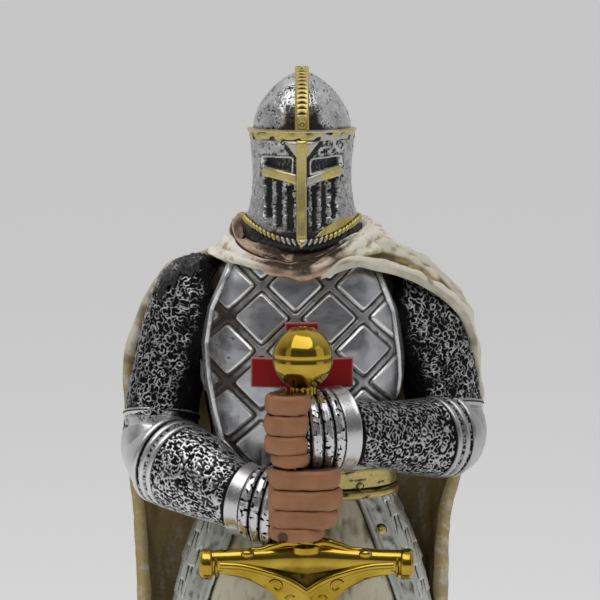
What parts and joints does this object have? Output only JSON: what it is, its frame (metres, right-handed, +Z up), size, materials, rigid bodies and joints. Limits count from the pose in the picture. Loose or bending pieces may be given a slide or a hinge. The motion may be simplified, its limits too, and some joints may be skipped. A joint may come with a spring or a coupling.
{
  "type": "medieval knight statue",
  "caption": "Standing medieval knight statue in a closed helm, mail, plate and cloak, both fists resting on an upright sword, on a low plinth.",
  "frame": {"origin": "centre of the plinth's underside", "axes": "+Z up along the figure, -Y the way the knight faces, +X to the viewer's right"},
  "size_m": [0.112, 0.092, 0.3002],
  "materials": {
    "knight": "cast resin painted in worn silver over black, with a cream cloak, gold trims and a red cross",
    "sword": "polished gold plating",
    "plinth": "cast resin painted as dark stone"
  },
  "bodies": {
    "root": {"knight": "knight", "sword": "sword", "plinth": "plinth"}
  },
  "joints": []
}
